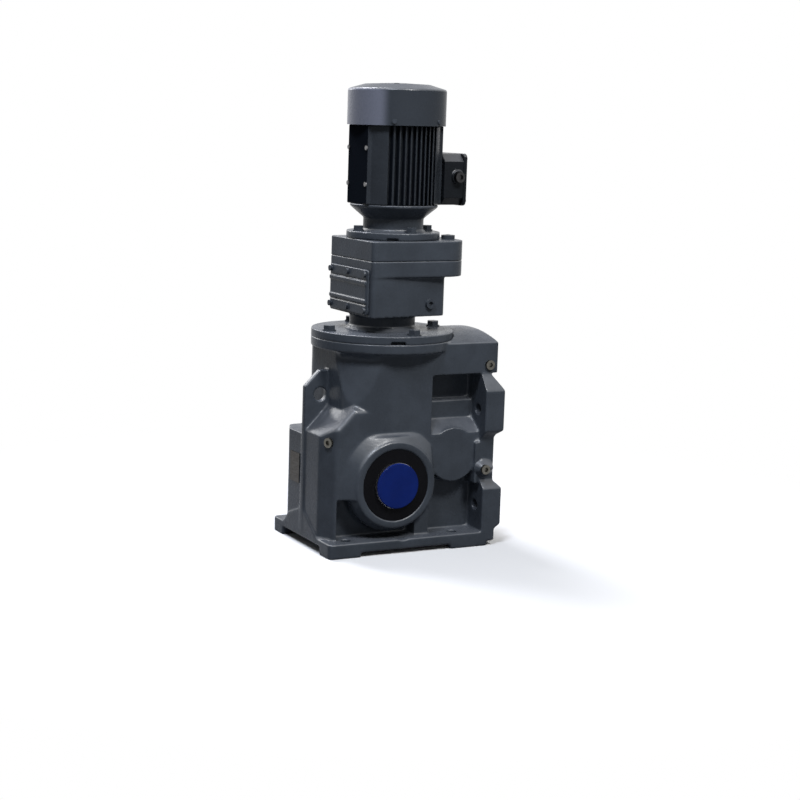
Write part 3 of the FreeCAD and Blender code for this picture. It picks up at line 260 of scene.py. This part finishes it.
mouldings = {
    "seal_rubber": dict(colour=(0.004, 0.004, 0.005), roughness=0.55, grain_scale=900.0, grain=0.0001),
    "fan_plastic": dict(colour=(0.02, 0.02, 0.022), roughness=0.55, grain_scale=500.0, grain=0.0001),
    "board_plastic": dict(colour=(0.12, 0.035, 0.02), roughness=0.5, grain_scale=500.0, grain=0.0001),
    "cap_plastic": dict(colour=(0.005, 0.017, 0.13), roughness=0.2, grain_scale=420.0, grain=0.00004),
}
finishes = {}
for make, table in ((paint, paints), (steel, steels), (moulded, mouldings)):
    for slot, settings in table.items():
        finishes[slot] = make(slot, **settings)

finish_of_node = {node: finishes[slot] for node, slot in slot_of_node.items()}
finish_of_node["motor_frame"] = paint("frame_paint", scaled(blue_grey, 0.55), grain=0.0004, left=motor_flat)
finish_of_node["cable_entry_plug"] = steel("entry_steel", (0.05, 0.05, 0.052), roughness=0.3,
                                           streaks=(120.0, 900.0, 120.0))
for name in ("prestage_oil_plug", "fan_cover_screws"):
    finish_of_node[name] = finishes["fastener_paint"]
for name, node in nodes.items():
    node.data.materials.clear()
    node.data.materials.append(finish_of_node[name])


# Castings with rounded edges

def rows(items, key, width, kind=float):
    """A mesh's values under a key, with one row for each of the vertices or edges in items."""
    values = np.zeros(len(items) * width, kind)
    items.foreach_get(key, values)
    return values.reshape(-1, width)


def place_points(mesh, points):
    mesh.vertices.foreach_set("co", points.ravel())
    mesh.update()


def neighbours_mean(values, edges):
    """The mean of each vertex's neighbours, column by column."""
    count = len(values)
    ends = np.concatenate((edges[:, 0], edges[:, 1]))
    others = np.concatenate((edges[:, 1], edges[:, 0]))
    degree = np.maximum(np.bincount(ends, minlength=count), 1)
    columns = [np.bincount(ends, column[others], minlength=count) / degree for column in values.T]
    return np.stack(columns, 1)


def blank(node, added):
    """A piece with a copy of the node's mesh and the boxes in added, each between two corners."""
    form = bmesh.new()
    form.from_mesh(nodes[node].data)
    for corners in added:
        low, high = map(Vector, corners)
        spread = Matrix.Diagonal((*(high - low), 1.0))
        bmesh.ops.create_cube(form, size=1.0, matrix=Matrix.Translation((low + high) / 2) @ spread)
    piece = bpy.data.objects.new(node + "_cast", bpy.data.meshes.new(node + "_cast"))
    form.to_mesh(piece.data)
    form.free()
    bpy.context.scene.collection.objects.link(piece)
    return piece


def remeshed(piece, voxel):
    """Joins all that a piece holds in one skin of even cells and gives the new mesh."""
    weld_reach = 0.00001
    weld = piece.modifiers.new("weld", "WELD")
    weld.merge_threshold = weld_reach
    remesh = piece.modifiers.new("remesh", "REMESH")
    remesh.mode = "VOXEL"
    remesh.voxel_size = voxel
    mesh = bpy.data.meshes.new_from_object(piece.evaluated_get(bpy.context.evaluated_depsgraph_get()))
    piece.modifiers.clear()
    piece.data = mesh
    return mesh


def softened(node, voxel, edge_rounds, corner_rounds, kept=(), added=(), shaped=None):
    """Replaces a node by a copy with its edges rounded and its inner corners filled, as cast metal has them.

    The boxes in kept are places that stay sharp, and those in added are small webs of the casting.
    The function in shaped moves the points of other small forms.
    """
    least_hollow = 0.12 * voxel
    rounds_per_spread = 4
    step = 0.5

    piece = blank(node, added)
    mesh = remeshed(piece, voxel)
    points = rows(mesh.vertices, "co", 3)
    if shaped:
        shaped(points)
        place_points(mesh, points)
    normals = rows(mesh.vertices, "normal", 3)
    edges = rows(mesh.edges, "vertices", 2, np.int64)
    loose = np.ones((len(points), 1))
    for low, high in kept:
        loose[np.all((points > low) & (points < high), axis=1)] = 0.0
    hollow = ((neighbours_mean(points, edges) - points) * normals).sum(1)
    corners = (hollow > least_hollow)[:, None] * loose
    for _ in range(corner_rounds // rounds_per_spread):
        corners = loose * np.maximum(corners, neighbours_mean(corners, edges))
    for share, rounds in ((corners, corner_rounds), (loose, edge_rounds)):
        for _ in range(rounds):
            points += step * share * (neighbours_mean(points, edges) - points)
    mesh.polygons.foreach_set("use_smooth", np.ones(len(mesh.polygons), bool))
    place_points(mesh, points)
    mesh.materials.clear()
    mesh.materials.append(finish_of_node[node])
    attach(piece, body_of_node[node])
    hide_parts(node)


def sloped_pads(points):
    """Slopes the ends of the side foot's pads back to the plate between them, and brings that plate out.

    The ear of the plate's plug becomes a low cone.
    """
    foot_x, plate_x, plate_face_x = 0.136, 0.16, 0.175
    lower_pad_top, upper_pad_low = 0.1, 0.21
    lower_slope, upper_slope = (0.1025, 0.1175), (0.193, 0.206)
    top_slope, top_end = (0.277, 0.305), (0.311, 0.312)
    # Over the top end nothing is cut, because uncut_half is more than half the housing's depth.
    pad_half, plate_half, top_half, uncut_half = 0.119, 0.106, 0.1, 0.15
    heights = (*lower_slope, *upper_slope, *top_slope, *top_end)
    halves = (pad_half, plate_half, plate_half, pad_half, pad_half, top_half, top_half, uncut_half)
    plug_x, plug_z = 0.151, 0.139
    cone_tip, cone_foot = 0.0105, 0.019

    across, depth, height = points.T.copy()
    half = np.interp(height, heights, halves)
    from_plug = np.hypot(across - plug_x, height - plug_z)
    cone = np.interp(from_plug, (cone_tip, cone_foot), (pad_half, 0.0))
    side = (across > foot_x) & (height > lower_pad_top)
    points[side, 1] = np.clip(depth, -np.maximum(half, cone), half)[side]
    outer = (across > plate_x) & (height > lower_pad_top) & (height < upper_pad_low)
    points[outer, 0] = np.maximum(across[outer], plate_face_x)


def round_neck(points):
    """Rounds the front left corner under the flange's ring, more towards the ring, which then stands out."""
    low, narrow, fillet, ring_low = 0.256, 0.33, 0.341, 0.349
    low_radius, narrow_radius, ring_radius = 0.127, 0.11, 0.124
    front_y = -0.01

    across, depth, height = points.T.copy()
    radii = (low_radius, narrow_radius, narrow_radius, ring_radius)
    reach = np.interp(height, (low, narrow, fillet, ring_low), radii)
    neck = (across < 0) & (depth < front_y) & (height > low) & (height < ring_low)
    share = np.minimum(1.0, reach / np.hypot(across, depth))
    points[neck, :2] *= share[neck, None]


def housing_forms(points):
    """The small forms of the main housing."""
    sloped_pads(points)
    round_neck(points)


def around(height, below, above, across, depth):
    """The box from below a height to above it, over the stretches across and depth."""
    return (across[0], depth[0], height - below), (across[1], depth[1], height + above)


flange_thickness = 0.014
flange_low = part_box("flange_bolts")[0].z - flange_thickness
half_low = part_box("prestage_cover")[0].z
small_flange_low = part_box("motor_flange")[0].z
# Places that stay sharp: the main joint, the slots for prying flanges apart and the pre-stage's parting
joint = around(flange_low, below=0.003, above=0.003, across=(-0.13, 0.13), depth=(-0.13, 0.13))
pry_slot = around(flange_low, below=0.01, above=0.01, across=(-0.07, 0.01), depth=(-0.14, -0.1))
small_pry_slot = around(small_flange_low, below=0.01, above=0.01, across=(-0.06, 0.01), depth=(-0.1, -0.06))
parting = around(half_low, below=0.01, above=0.003, across=(-0.2, 0.2), depth=(-0.2, 0.2))
plug_web = ((0.138, -0.1065, 0.112), (0.155, -0.07, 0.186))
softened("main_housing", voxel=0.0019, edge_rounds=3, corner_rounds=36, kept=[joint], added=[plug_web],
         shaped=housing_forms)
softened("prestage_housing", voxel=0.0015, edge_rounds=3, corner_rounds=24, kept=[joint, pry_slot])
softened("prestage_cover", voxel=0.0015, edge_rounds=3, corner_rounds=12, kept=[parting])
softened("prestage_side_cover", voxel=0.001, edge_rounds=8, corner_rounds=8)
softened("motor_flange", voxel=0.0015, edge_rounds=3, corner_rounds=16, kept=[small_pry_slot])
softened("motor_frame", voxel=0.0012, edge_rounds=2, corner_rounds=6)
softened("terminal_box", voxel=0.001, edge_rounds=3, corner_rounds=8)
softened("terminal_box_lid", voxel=0.001, edge_rounds=3, corner_rounds=0)


# Floor, light and camera

def seen_or_mirrored(tree):
    """1 for what the camera sees, straight or in a reflection, and 0 for light on its way to the object."""
    path = tree.nodes.new("ShaderNodeLightPath")
    value = path.outputs["Is Camera Ray"]
    for ray in ("Is Glossy Ray", "Is Transmission Ray"):
        either = tree.nodes.new("ShaderNodeMath")
        either.operation = "MAXIMUM"
        tree.links.new(value, either.inputs[0])
        tree.links.new(path.outputs[ray], either.inputs[1])
        value = either.outputs["Value"]
    return value


def floor():
    """A pale floor that fades to the white of the background and throws back little light."""
    reach = 8.0
    fade_start, fade_end = 0.35, 1.1
    near_seen, near_thrown = (0.86, 0.86, 0.86), (0.17, 0.18, 0.2)
    far_seen, far_thrown = white, scaled((0.84, 0.92, 1.0), 0.2)

    mesh = bpy.data.meshes.new("floor")
    corners = [(x * reach, y * reach, 0) for x, y in ((-1, -1), (1, -1), (1, 1), (-1, 1))]
    mesh.from_pydata(corners, [], [(0, 1, 2, 3)])
    plane = bpy.data.objects.new("floor", mesh)
    bpy.context.scene.collection.objects.link(plane)
    shader = Shader("floor")
    seen = seen_or_mirrored(shader.tree)
    tone = shader.mix(seen, near_thrown, near_seen)
    shader.set(Base_Color=tone, Roughness=0.9, Specular_IOR_Level=0.0)
    glow = shader.add("ShaderNodeEmission")
    shader.feed(glow.inputs["Color"], shader.mix(seen, far_thrown, far_seen))
    distance = shader.add("ShaderNodeVectorMath", operation="LENGTH")
    shader.feed(distance.inputs[0], shader.place)
    blend = shader.add("ShaderNodeMixShader")
    shader.feed(blend.inputs["Fac"], shader.remap(distance.outputs["Value"], fade_start, fade_end))
    shader.feed(blend.inputs[1], shader.surface.outputs["BSDF"])
    shader.feed(blend.inputs[2], glow.outputs["Emission"])
    shader.feed(shader.tree.nodes["Material Output"].inputs["Surface"], blend.outputs["Shader"])
    mesh.materials.append(shader.material)


def lamp(name, place, target, size, power, colour=white):
    """A square lamp turned to its target, with its power in watts."""
    light = bpy.data.lights.new(name, "AREA")
    light.size = size
    light.energy = power
    light.color = colour
    holder = bpy.data.objects.new(name, light)
    bpy.context.scene.collection.objects.link(holder)
    holder.location = place
    holder.rotation_euler = (Vector(target) - Vector(place)).to_track_quat("-Z", "Y").to_euler()


def world(ambient):
    """White to the camera and in reflections, a plain soft level on the object."""
    sky = bpy.data.worlds.new("studio")
    sky.use_nodes = True
    tree = sky.node_tree
    strength = tree.nodes.new("ShaderNodeMapRange")
    strength.inputs["To Min"].default_value = ambient
    tree.links.new(seen_or_mirrored(tree), strength.inputs["Value"])
    tree.nodes["Background"].inputs["Color"].default_value = (*white, 1.0)
    tree.links.new(strength.outputs["Result"], tree.nodes["Background"].inputs["Strength"])
    bpy.context.scene.world = sky


def camera():
    """The photograph's view: a long lens from the front left, a little above."""
    place = (-1.3874, -2.6491, 0.7440)
    right = Vector((0.9061, -0.4224, 0.0245))
    forward = Vector((0.4211, 0.8946, -0.1499))
    up = right.cross(forward)
    data = bpy.data.cameras.new("camera")
    data.sensor_width = 36.0
    data.lens = 76.57
    data.shift_x = 0.114
    data.shift_y = -0.030
    data.clip_end = 50.0
    holder = bpy.data.objects.new("camera", data)
    bpy.context.scene.collection.objects.link(holder)
    turn = Matrix((right, up, -forward)).transposed()
    holder.matrix_world = Matrix.Translation(place) @ turn.to_4x4()
    bpy.context.scene.camera = holder


floor()
lamp("key", place=(0.3, -1.95, 2.5), target=(0.0, 0.0, 0.4), size=0.6, power=54.0)
lamp("side", place=(-1.2, -1.2, 2.9), target=(0.0, 0.0, 0.3), size=0.7, power=51.0, colour=(0.82, 0.88, 1.0))
lamp("top", place=(-0.35, 1.5, 2.8), target=(0.0, 0.0, 0.4), size=1.0, power=90.0, colour=(0.92, 0.93, 1.0))
lamp("back", place=(-0.7, 3.1, 1.7), target=(-0.1, 0.0, 0.25), size=1.3, power=25.0)
lamp("fill", place=(-0.9, -3.0, 1.0), target=(0.0, 0.0, 0.35), size=2.2, power=5.0)
world(ambient=0.07)
camera()
bpy.context.scene.view_settings.view_transform = "Standard"
